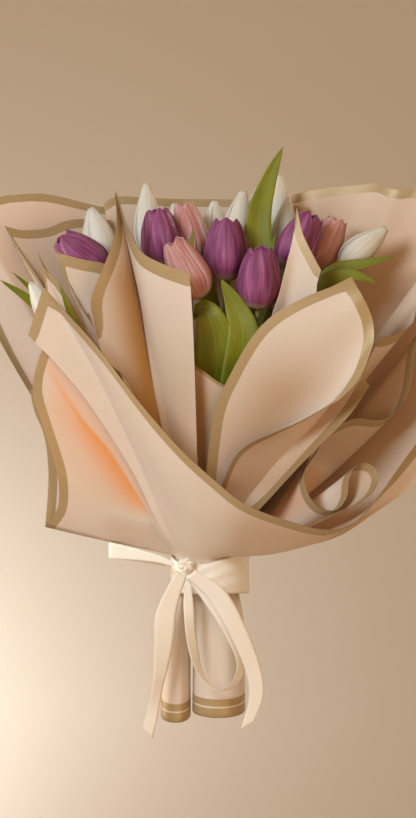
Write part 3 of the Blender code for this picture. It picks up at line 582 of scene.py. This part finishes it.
def smooth_curve(points, count):
    """Catmull-Rom curve through the points, as count equal steps of its length."""
    knots = np.array(points, dtype=float)
    if len(knots) == 2:
        return np.linspace(knots[0], knots[1], count + 1)
    padded = np.vstack([2 * knots[0] - knots[1], knots, 2 * knots[-1] - knots[-2]])
    fine = []
    for before, start, end, after in zip(padded, padded[1:], padded[2:], padded[3:]):
        for t in np.linspace(0.0, 1.0, CURVE_SAMPLES, endpoint=False):
            fine.append(0.5 * (2 * start + (end - before) * t
                               + (2 * before - 5 * start + 4 * end - after) * t ** 2
                               + (3 * start - before - 3 * end + after) * t ** 3))
    fine = np.array(fine + [knots[-1]])
    along = np.concatenate([[0.0], np.cumsum(np.linalg.norm(np.diff(fine, axis=0), axis=1))])
    wanted = np.linspace(0.0, along[-1], count + 1)
    return np.column_stack([np.interp(wanted, along, fine[:, axis]) for axis in range(fine.shape[1])])


def run_length(run):
    return float(np.linalg.norm(np.diff(np.array(run, dtype=float), axis=0), axis=1).sum())


def run_steps(runs, count):
    """How many of count steps each run gets, by its length."""
    ends = np.cumsum([run_length(run) for run in runs])
    stops = [max(index + 1, round(count * end / ends[-1])) for index, end in enumerate(ends)]
    return np.diff([0, *stops[:-1], count])


def rim_runs(rim):
    """Runs of a free edge, each with the corner it starts from."""
    return [rim[0]] + [(before[-1], *run) for before, run in zip(rim, rim[1:])]


def cornered_curve(runs, count):
    """Join smooth runs so that each corner between them falls on a step."""
    joined = []
    for run, steps in zip(runs, run_steps(runs, count)):
        joined.extend(smooth_curve(run, steps)[:-1])
    joined.append(np.array(runs[-1][-1], dtype=float))
    return np.array(joined)


def ring_point(radius, degrees, height):
    angle = math.radians(degrees)
    return np.array([radius * math.cos(angle), radius * math.sin(angle), height])


def tie_top(degrees):
    """Height where the paper leaves the tie; it is lowest at the front left."""
    return TIE_TOP - TIE_DIP * max(0.0, math.cos(math.radians(degrees - TIE_DIP_ANGLE))) ** 2


def grid_faces(columns, rows, closed=False):
    """Quads of a grid, column by column; closed joins the last column to the first."""
    faces = []
    for column in range(columns):
        here = column * (rows + 1)
        beside = (column + 1) % columns * (rows + 1) if closed else here + rows + 1
        faces += [(here + row, beside + row, beside + row + 1, here + row + 1) for row in range(rows)]
    return faces


def ring_faces(sides, rings, capped=False):
    """Quads between rings of points; capped closes both ends."""
    faces = [(ring * sides + side, ring * sides + (side + 1) % sides,
              (ring + 1) * sides + (side + 1) % sides, (ring + 1) * sides + side)
             for ring in range(rings) for side in range(sides)]
    if capped:
        faces += [tuple(reversed(range(sides))), tuple(range(rings * sides, (rings + 1) * sides))]
    return faces


def column_at(place, corners):
    """Column of a corner, given by its number, or of a share of the sheet's width."""
    return corners[place] if isinstance(place, int) else round(place * corners[-1])


def sheet_grid(shape, columns, rows):
    """Points of one sheet as an array (column, row, 3): a band round the waist, then the fan."""
    radius = RING_START + RING_PITCH * shape["ring"]
    spread = np.linspace(*shape["angles"], columns + 1)
    roots = [ring_point(radius, angle, tie_top(angle)) for angle in spread]
    edge = cornered_curve(shape["rim"], columns)
    corners = [0, *np.cumsum(run_steps(shape["rim"], columns))]
    heights = np.linspace(0.0, 1.0, rows + 1)
    belly = shape.get("belly", (0, 0))
    bend = shape.get("bend", 0.5)

    def rib_bulge(column):
        outward = ring_point(belly[0], spread[column], belly[1]) + np.array([0.0, shape.get("back", 0),
                                                                             0.0])
        shift = (bend - 0.5) * (edge[column] - roots[column]) + outward
        return np.array([2 * v * (1 - v) * shift for v in heights])

    def side_bulge(side, column):
        if side is None:
            return rib_bulge(column)
        curve = smooth_curve([roots[column], *side, edge[column]], rows)
        return curve - np.linspace(roots[column], edge[column], rows + 1)

    guides = [(0, side_bulge(shape.get("first"), 0))]
    for place, path in shape.get("folds", ()):
        column = column_at(place, corners)
        guides.append((column, side_bulge(path, column)))
    guides.append((columns, side_bulge(shape.get("last"), columns)))
    grid = []
    for column, angle in enumerate(spread):
        before = max(index for index, guide in enumerate(guides[:-1]) if guide[0] <= column)
        (start, left), (end, right) = guides[before:before + 2]
        t = (column - start) / (end - start)
        middle = 4 * t * (1 - t) * shape.get("slack", 1.0)
        bulge = (1 - middle) * ((1 - t) * left + t * right) + middle * rib_bulge(column)
        fan = np.linspace(roots[column], edge[column], rows + 1) + bulge
        curl = shape.get("curl", 0) * max(0.0, 1 - column / columns / CURL_SHARE) ** 2
        fan[:, 1] += curl * np.minimum(1.0, 2 * heights)
        grid.append([ring_point(radius, angle, PAPER_FOOT), *fan])
    return np.array(grid)


def grid_normals(grid):
    along = np.gradient(grid, axis=0)
    up = np.gradient(grid, axis=1)
    normal = np.cross(along, up)
    return normal / np.maximum(np.linalg.norm(normal, axis=2, keepdims=True), 1e-9)


def soften(grid, seed, height):
    """Shallow swells of a gathered sheet: none at the tie, fullest in the middle of the fan."""
    columns, rows = grid.shape[0], grid.shape[1]
    u = np.linspace(0.0, 1.0, columns)[:, None]
    v = np.linspace(0.0, 1.0, rows)[None, :]
    phase = 1.7 * seed
    swell = (np.sin(9.0 * u + phase + 2.0 * v) + 0.6 * np.sin(17.0 * u - 1.3 * phase - 3.0 * v)
             + 0.5 * np.sin(5.0 * v + phase))
    envelope = np.clip((v - 0.12) / 0.4, 0.0, 1.0) ** 2 * (1 - 0.6 * v)
    return grid + grid_normals(grid) * (height * swell * envelope)[:, :, None]


def distance_to_gilt(grid, shape):
    """Distance of each point to the nearest gilded edge, scaled so that each border ends at GILT_WIDTH."""
    columns, rows = grid.shape[0] - 1, grid.shape[1] - 1
    distance = np.full(grid.shape[:2], FAR_FROM_EDGE)
    window = shape.get("near", columns)
    edges = []
    stop = 0
    gilt = shape["gilt"]
    for run, steps in enumerate(run_steps(shape["rim"], columns)):
        start, stop = stop, stop + steps
        if run in gilt:
            edges.append((gilt[run], [(column, rows) for column in range(start, stop + 1)]))
    for side, column in (("first", 0), ("last", columns)):
        if side in gilt:
            edges.append((gilt[side], [(column, row) for row in range(2, rows + 1)]))
    for width, edge in edges:
        for (c0, r0), (c1, r1) in zip(edge, edge[1:]):
            c_low, c_high = max(0, c0 - window), min(columns, c1 + window) + 1
            r_low, r_high = max(0, r0 - window), min(rows, r1 + window) + 1
            start, end = grid[c0, r0], grid[c1, r1]
            part = grid[c_low:c_high, r_low:r_high]
            span = end - start
            t = np.clip(((part - start) @ span) / max(span @ span, 1e-9), 0.0, 1.0)
            gap = np.linalg.norm(part - (start + t[:, :, None] * span), axis=2) * GILT_WIDTH / width
            view = distance[c_low:c_high, r_low:r_high]
            np.minimum(view, gap, out=view)
    return distance


def paint_shade_and_glow(grid, shape):
    """How much light is painted into the film's colour at each point: 0 is plain, 1 is a painted dark fold
    shade, -1 a painted orange glow.
    """
    columns, rows = grid.shape[0] - 1, grid.shape[1] - 1
    corners = [0, *np.cumsum(run_steps(shape["rim"], columns))]
    rise = np.linspace(0.0, 1.0, rows + 1)
    painted_shade_glow = np.zeros(grid.shape[:2])
    # Painted shade in bands, fading out from one share of the height to another.
    for (start, end), (full, none), (near, far) in shape.get("painted_light_bands", ()):
        first, last = column_at(start, corners), column_at(end, corners) + 1
        across = np.linspace(near, far, last - first)[:, None]
        painted_shade_glow[first:last] = across * np.clip((none - rise) / (none - full), 0.0, 1.0)[None, :]
    # Painted shade round a line, or a painted orange glow where the strength is negative.
    flat = grid[:, :, [0, 2]]
    for start, end, radius, strength, *span in shape.get("painted_light_pools", ()):
        start, ahead = np.array(start, dtype=float), np.array(end, dtype=float) - start
        t = np.clip(((flat - start) @ ahead) / (ahead @ ahead), 0.0, 1.0)
        gap = np.linalg.norm(flat - (start + t[:, :, None] * ahead), axis=2)
        first, last = (column_at(place, corners) for place in (span or (0, 1.0)))
        painted_shade_glow[first:last + 1] += strength * np.exp(-(gap[first:last + 1] / radius) ** 2)
    return np.clip(painted_shade_glow, -1.0, 1.0)


def make_papers(finish):
    for seed, (name, shape) in enumerate(SHEETS.items()):
        shape = {**shape, "rim": rim_runs(shape["rim"])}
        columns = round(PAPER_FINENESS * shape.get("columns", 12))
        rows = round(PAPER_FINENESS * 1.3 * shape.get("rows", 5))
        grid = soften(sheet_grid(shape, columns, rows), seed, shape.get("swell", 0.9))
        stands_for = ["wrap_" + name] if "wrap_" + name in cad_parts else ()
        item = add_piece("sheet_" + name, grid.reshape(-1, 3), grid_faces(columns, rows + 1), finish,
                         stands_for, thickness=PAPER_THICKNESS,
                         fields={"rim": distance_to_gilt(grid, shape).ravel(),
                                 "painted_shade_glow": paint_shade_and_glow(grid, shape).ravel()})
        item.modifiers.new("flat_faces", "WEIGHTED_NORMAL")


def tube(path, radii, sides):
    """Round tube along a path with rounded-off flat ends; gives points, faces and its two fields."""
    path = np.array(path, dtype=float)
    radii = np.broadcast_to(radii, len(path))
    normal = Vector((0.0, -1.0, 0.0))
    points, across, along = [], [], []
    for index, centre in enumerate(path):
        ahead = path[min(index + 1, len(path) - 1)] - path[max(index - 1, 0)]
        tangent = Vector(ahead).normalized()
        normal = (normal - tangent * normal.dot(tangent)).normalized()
        sideways = tangent.cross(normal)
        for side in range(sides):
            turn = 2 * math.pi * side / sides
            spoke = normal * math.cos(turn) + sideways * math.sin(turn)
            points.append(centre + radii[index] * np.array(spoke))
            across.append(math.sin(turn))
            along.append(index / len(path))
    return points, ring_faces(sides, len(path) - 1, capped=True), across, along


def join_meshes(parts):
    """Join (points, faces, fields) lists into one, with their faces renumbered."""
    points, faces, fields = [], [], {}
    for part_points, part_faces, part_fields in parts:
        start = len(points)
        points.extend(part_points)
        faces.extend(tuple(start + corner for corner in face) for face in part_faces)
        for field, values in part_fields.items():
            fields.setdefault(field, []).extend(values)
    return points, faces, fields


# ---- flowers
def bloom_axis(lean, tilt):
    """Direction in which a tulip points."""
    lean, tilt = math.radians(lean), math.radians(tilt)
    return np.array([math.cos(tilt) * math.sin(lean), -math.sin(tilt), math.cos(tilt) * math.cos(lean)])


def bloom_frame(lean, tilt):
    """Columns: the bloom's own sideways, depth and upward directions."""
    up = Vector(bloom_axis(lean, tilt))
    sideways = Vector((0.0, 1.0, 0.0)).cross(up).normalized()
    return np.array([sideways, up.cross(sideways), up]).T


def petal(height, half_width, outline, turn, inner, shade):
    """One cupped petal: wider than its gap, edges drawn in, and a soft fold down its middle."""
    columns, rows = 12, 18
    table = smooth_curve(outline, 60)
    _, u, v = strip_places(columns, rows)
    radius = half_width * np.interp(v, table[:, 0], table[:, 2 if inner else 1])
    span = half_width * np.interp(v, table[:, 0], table[:, 3]) * (INNER_PETAL_SPAN if inner else 1.0)
    angle = turn + u * np.minimum(span / np.maximum(radius, 0.5), WIDEST_PETAL_ANGLE)
    crown = 0.05 * half_width * (1 - u * u) * np.sin(math.pi * np.minimum(1.0, v * 1.1))
    groove = 0.018 * half_width * np.exp(-(u / 0.12) ** 2) * v
    ripple = 0.012 * half_width * np.sin(9 * v + 5 * shade) * abs(u) ** 3
    reach = radius + crown - groove + ripple
    lift = height * (v + 0.015 * math.sin(4 * shade) * v)
    points = np.column_stack([reach * np.cos(angle), reach * np.sin(angle), lift])
    return points, grid_faces(columns, rows), strip_fields(u, v, shade)


def make_bloom(name, colour, centre, lean, tilt, height, width, spin, finish):
    outline = BLOOM_SHAPES["slender" if colour == "white" else "full"]
    parts = []
    for index in range(6):
        inner = index % 2 == 1
        turn = math.radians(270 + spin + 60 * index)
        shade = (index * 0.37 + len(name) * 0.11) % 1.0
        tall = height * (0.985 if inner else 1.0 - 0.02 * (index // 2))
        parts.append(petal(tall, 0.5 * width, outline, turn, inner, shade))
    points, faces, fields = join_meshes(parts)
    base = np.array(centre, dtype=float) - bloom_axis(lean, tilt) * height / 2
    placed = np.array(points) @ bloom_frame(lean, tilt).T + base
    add_piece("tulip_" + name, placed, faces, finish, ["bloom_" + name],
              fields=fields, thickness=PETAL_THICKNESS)


def seat_point(ring, degrees, height):
    """Place of a stem in the hexagonal bundle at the waist."""
    distance = ring * STEM_PITCH
    off_corner = math.radians((degrees + 30.0) % 60.0 - 30.0)
    if ring == 2 and abs(off_corner) > 0.1:
        distance *= math.cos(math.radians(30.0))
    return ring_point(distance, degrees, height)


def stem_path(centre, lean, tilt, height, seat):
    """Centre line of a stem, from its cut end up to the base of its bloom."""
    axis = bloom_axis(lean, tilt)
    top = np.array(centre, dtype=float) - axis * (height / 2 + BLOOM_GAP)
    seat_top = seat_point(*seat, STEM_STRAIGHT_TOP)
    reach = float(np.linalg.norm(top - seat_top))
    low_pull, high_pull = STEM_PULLS
    controls = (seat_top, seat_top + np.array([0, 0, low_pull * reach]),
                top - axis * high_pull * reach, top)
    aside = np.array([HANDLE_SHIFT, 0, 0])
    low = smooth_curve([seat_point(*seat, STEM_END) + aside, seat_point(*seat, STEM_BEND) + aside,
                        seat_point(*seat, STEM_BIND), seat_top], 16)
    path = list(low[:-1])
    for t in np.linspace(0.0, 1.0, 22):
        weights = ((1 - t) ** 3, 3 * t * (1 - t) ** 2, 3 * t ** 2 * (1 - t), t ** 3)
        path.append(sum(weight * control for weight, control in zip(weights, controls)))
    return np.array(path)


def leaf_blade(path, width, rise, shade):
    """Folded blade with a keel: narrow foot, widest near the middle, pointed tip, wavy edges."""
    columns, rows = 8, 26
    spine = smooth_curve(path, rows)
    facing = Vector((0.0, -1.0, rise)).normalized()
    halves, sides, normals = [], [], []
    for row in range(rows + 1):
        t = row / rows
        tangent = Vector(spine[min(row + 1, rows)] - spine[max(row - 1, 0)]).normalized()
        sides.append(np.array(tangent.cross(facing).normalized()))
        normals.append(np.cross(sides[-1], np.array(tangent)))
        full = 0.5 * width * math.sin(math.pi * t ** 0.8) ** 0.75 if 0 < t < 1 else 0.0
        halves.append(max(full, 1.6 * (1 - t) + 0.15))
    row, u, t = strip_places(columns, rows)
    half = np.array(halves)[row]
    depth = -0.2 * half * (1 - abs(u) ** 1.3) + 0.05 * half * np.sin(11 * t + 2 * u) * u * u
    points = spine[row] + (u * half)[:, None] * np.array(sides)[row] + depth[:, None] * np.array(normals)[row]
    along = t * run_length(spine) / (3 * CENTIMETRE)
    return points, grid_faces(columns, rows), strip_fields(u, along, shade)


def make_tulips(petals, stem_finish, leaf_finish):
    for name, centre, lean, tilt, height, width, seat, spin in TULIPS:
        colour = name.split("_")[0]
        make_bloom(name, colour, centre, lean, tilt, height, width, spin, petals[colour])
        path = stem_path(centre, lean, tilt, height, seat)
        radii = np.linspace(STEM_RADIUS, STEM_NECK_RADIUS, len(path))
        points, faces, across, along = tube(path, radii, 12)
        add_piece("stalk_" + name, points, faces, stem_finish, ["stem_" + name])
        for number, (leaf_name, owner, leave_height, steps, leaf_width, rise) in enumerate(LEAVES):
            if owner != name:
                continue
            foot = [np.interp(leave_height, path[:, 2], path[:, axis]) for axis in range(3)]
            points, faces, fields = leaf_blade([foot, *steps], leaf_width, rise, 0.21 * number)
            add_piece("leaf_" + leaf_name, points, faces, leaf_finish, ["stem_" + name],
                      fields=fields, thickness=LEAF_THICKNESS)


# ---- handle and ribbon
def make_sleeves(finish):
    """Two open paper tubes below the tie, with soft vertical folds and a dipping lower edge."""
    sides, steps = 60, 32
    for name, (rows, dip) in SLEEVES.items():
        table = smooth_curve(rows, steps)
        grid = []
        for side in range(sides + 1):
            turn = 2 * math.pi * side / sides
            fold = 0.5 * math.sin(5 * turn + 1.0) + 0.35 * math.sin(9 * turn)
            column = []
            for row, (height, centre_x, half_width, half_depth) in enumerate(table):
                share = row / steps
                swell = fold * (1.2 - 0.7 * share)
                low = dip * max(0.0, -math.sin(turn)) * share ** 3
                column.append((centre_x + (half_width + swell) * math.cos(turn),
                               (half_depth + swell) * math.sin(turn), height - low))
            grid.append(column)
        grid = np.array(grid)
        rim = grid[:, :, 2] - grid[:, -1:, 2]
        faces = [face[:1] + face[:0:-1] for face in grid_faces(sides, steps, closed=True)]
        item = add_piece("sleeve_" + name, grid[:-1].reshape(-1, 3), faces, finish,
                         ["stem_sleeve_" + name], thickness=PAPER_THICKNESS,
                         fields={"rim": rim[:-1].ravel()})


def make_ribbons(finish):
    columns = 6
    for name, shape in RIBBONS.items():
        steps = 12 * (len(shape["path"]) - 1)
        spine = smooth_curve(shape["path"], steps)
        halves = smooth_curve(shape["half"], steps)
        row, u, along = strip_places(columns, steps)
        grid = spine[row] + u[:, None] * halves[row]
        item = add_piece("ribbon_" + name + "_satin", grid, grid_faces(columns, steps), finish,
                         ["ribbon_" + name], body=name, thickness=RIBBON_THICKNESS,
                         fields=strip_fields(u, along * run_length(spine), 0.0))


def make_band(finish):
    """Satin wound round the waist, with soft creases that run to the knot."""
    sides, rows = 96, 16
    grid, across, along = [], [], []
    for side in range(sides + 1):
        degrees = 360.0 * side / sides
        top = tie_top(degrees) - BAND_BELOW_TIE_TOP
        for row in range(rows + 1):
            v = row / rows
            ripple = 16 * v + 3 * math.sin(math.radians(degrees) * 2)
            crease = 0.35 * math.sin(ripple) * (1 - (2 * v - 1) ** 8)
            radius = 0.5 * (BAND_INNER + BAND_OUTER) + crease
            grid.append(ring_point(radius, degrees, BAND_LOW + v * (top - BAND_LOW)))
            across.append(2 * v - 1)
            along.append(2 * math.pi * radius * side / sides)
    kept = sides * (rows + 1)
    item = add_piece("ribbon_band_satin", grid[:kept], grid_faces(sides, rows, closed=True), finish,
                     ["ribbon_band"], thickness=RIBBON_THICKNESS,
                     fields=strip_fields(across[:kept], along[:kept], 0.3))


def make_knot(finish):
    """Knot of the bow: satin drawn into folds that meet in its middle."""
    sides, rings = 48, 24
    points, across, along = [], [], []
    for ring in range(rings + 1):
        lift = math.pi * (ring / rings - 0.5)
        dimple = 1 - 0.3 * math.exp(-((0.5 * math.pi - abs(lift)) / 0.45) ** 2)
        for side in range(sides):
            turn = 2 * math.pi * side / sides
            fold = dimple * (1 + 0.13 * math.sin(6 * turn + 1.5 * lift) * math.cos(0.8 * lift))
            points.append(np.array(KNOT_CENTRE) + np.array(KNOT_RADII) * fold * np.array(
                [math.cos(lift) * math.cos(turn), math.sin(lift), math.cos(lift) * math.sin(turn)]))
            across.append(math.sin(3 * turn + 1.5 * lift))
            along.append(8 * lift)
    add_piece("ribbon_knot_satin", points, ring_faces(sides, rings),
              finish, ["ribbon_knot"],
              fields=strip_fields(across, along, 0.6))


def make_twine(finish):
    """Two-ply twine wound three times round the stems."""
    ply_radius, ply_offset, pitch, steps = 0.62, 0.55, 2.2, 240
    parts = []
    for ply in range(2):
        path = []
        for step in range(steps + 1):
            turn = 2 * math.pi * TWINE_TURNS * step / steps
            twist = 14 * turn + math.pi * ply
            radius = TWINE_RADIUS + ply_offset * math.cos(twist)
            height = pitch * (turn / (2 * math.pi) - 0.5 * TWINE_TURNS) + ply_offset * math.sin(twist)
            path.append((radius * math.cos(turn), radius * math.sin(turn), height))
        points, faces, across, along = tube(path, ply_radius, 6)
        parts.append((points, faces, strip_fields(across, [40 * value for value in along], ply)))
    points, faces, fields = join_meshes(parts)
    add_piece("twine_winding", points, faces, finish, ["binding_twine"], fields=fields)


def make_water_wrap(finish):
    """Crinkled foil cup round the wet ends of the stems."""
    inner, outer, low, floor, high = 21.4, 22.2, -129.0, -127.9, -100.0
    sides, rows = 72, 14
    rings = [(4.0, low)] + [(outer, low + (high - low) * row / rows) for row in range(rows + 1)]
    rings += [(inner, high - (high - floor) * row / rows) for row in range(rows + 1)] + [(4.0, floor)]
    points = []
    for radius, height in rings:
        for side in range(sides):
            turn = 360.0 * side / sides
            share = (height - low) / (high - low)
            crinkle = 0.45 * share * (math.sin(11 * math.radians(turn) + 5 * share)
                                      + 0.6 * math.sin(23 * math.radians(turn) - 9 * share))
            points.append(ring_point(radius + crinkle, turn, height) + np.array([HANDLE_SHIFT, 0, 0]))
    faces = ring_faces(sides, len(rings) - 1, capped=True)
    add_piece("foil_cup", points, faces, finish, ["stem_water_wrap"])


# ---- studio
def make_studio():
    """Pale floor that sweeps up into a backdrop far behind, out of the way of every view."""
    half_width, front, back, radius, floor, top = 14.0, -15.5, 15.5, 0.5, -1.3, 7.0
    profile = [(front, floor)]
    for step in range(25):
        turn = math.radians(90.0 * step / 24)
        profile.append((back - radius + radius * math.sin(turn), floor + radius - radius * math.cos(turn)))
    profile.append((back, top))
    points = [(side * half_width, y, z) for y, z in profile for side in (-1, 1)]
    faces = [(2 * row, 2 * row + 1, 2 * row + 3, 2 * row + 2) for row in range(len(profile) - 1)]
    mesh = bpy.data.meshes.new("studio_sweep")
    mesh.from_pydata(points, [], faces)
    mesh.shade_smooth()
    made, tree = new_tree("studio_wall")
    tone = noise(tree, object_space(tree), 0.7, 3.0)
    colour = mix(tree, tone, (0.80, 0.75, 0.69), (0.84, 0.79, 0.73))
    close(tree, node(tree, "BsdfPrincipled", {"Base Color": colour, "Roughness": 0.9}))
    mesh.materials.append(made)
    new_object("studio_sweep", mesh)


def add_light(name, place, target, size, power, colour):
    lamp = bpy.data.lights.new(name, "AREA")
    lamp.shape = "DISK"
    lamp.size = size
    lamp.energy = power
    lamp.color = colour
    item = new_object(name, lamp)
    item.location = place
    item.rotation_euler = (Vector(target) - Vector(place)).to_track_quat("-Z", "Y").to_euler()


def make_lights():
    middle = (0.0, 0.0, 0.2)
    add_light("key_left", (-1.1, -1.6, 1.0), middle, 0.85, 30.0, (0.83, 0.95, 1.0))
    add_light("fill_right", (0.9, -2.3, 0.0), middle, 1.0, 8.5, (1.0, 0.52, 0.16))
    add_light("glow_back_left", (-1.1, 0.35, 0.15), (-0.1, 0.0, 0.12), 0.5, 8.0, (1.0, 0.85, 0.65))
    add_light("back_right", (1.3, 1.3, 0.9), middle, 0.7, 10.0, (1.0, 0.88, 0.70))
    add_light("wall_wash", (-1.7, 14.5, -0.95), (-0.8, 15.5, -0.5), 0.5, 22.0, (1.0, 0.98, 0.95))
    world = bpy.data.worlds.new("studio_air")
    world.use_nodes = True
    air = world.node_tree.nodes["Background"].inputs
    air["Color"].default_value = (1.0, 0.71, 0.44, 1.0)
    air["Strength"].default_value = 0.48
    bpy.context.scene.world = world
    bpy.context.scene.view_settings.view_transform = "Standard"


def make_camera():
    """Level view from the front, from far enough to look almost flat."""
    distance, picture_height, centre_x, centre_z, sensor = 7.0, 0.818, -0.002, 0.163, 36.0
    lens = bpy.data.cameras.new("camera")
    lens.sensor_width = sensor
    lens.lens = sensor * distance / picture_height
    item = new_object("camera", lens)
    item.location = (centre_x, -distance, centre_z)
    item.rotation_euler = (math.radians(90.0), 0.0, 0.0)
    bpy.context.scene.camera = item


def build():
    make_camera()
    make_studio()
    make_lights()
    sheet_paper = paper_material("wrap_film", ((-1.0, GILT_WIDTH),))
    sleeve_paper = paper_material("sleeve_film", ((-1.0, 9.5), (11.2, 18.5)))
    petals = {tone: petal_material(tone + "_petal", **look) for tone, look in PETAL_TONES.items()}
    satin = satin_material()
    make_papers(sheet_paper)
    make_tulips(petals, stem_material(), leaf_material())
    make_sleeves(sleeve_paper)
    make_band(satin)
    make_knot(satin)
    make_ribbons(satin)
    make_twine(twine_material())
    make_water_wrap(foil_material())


build()
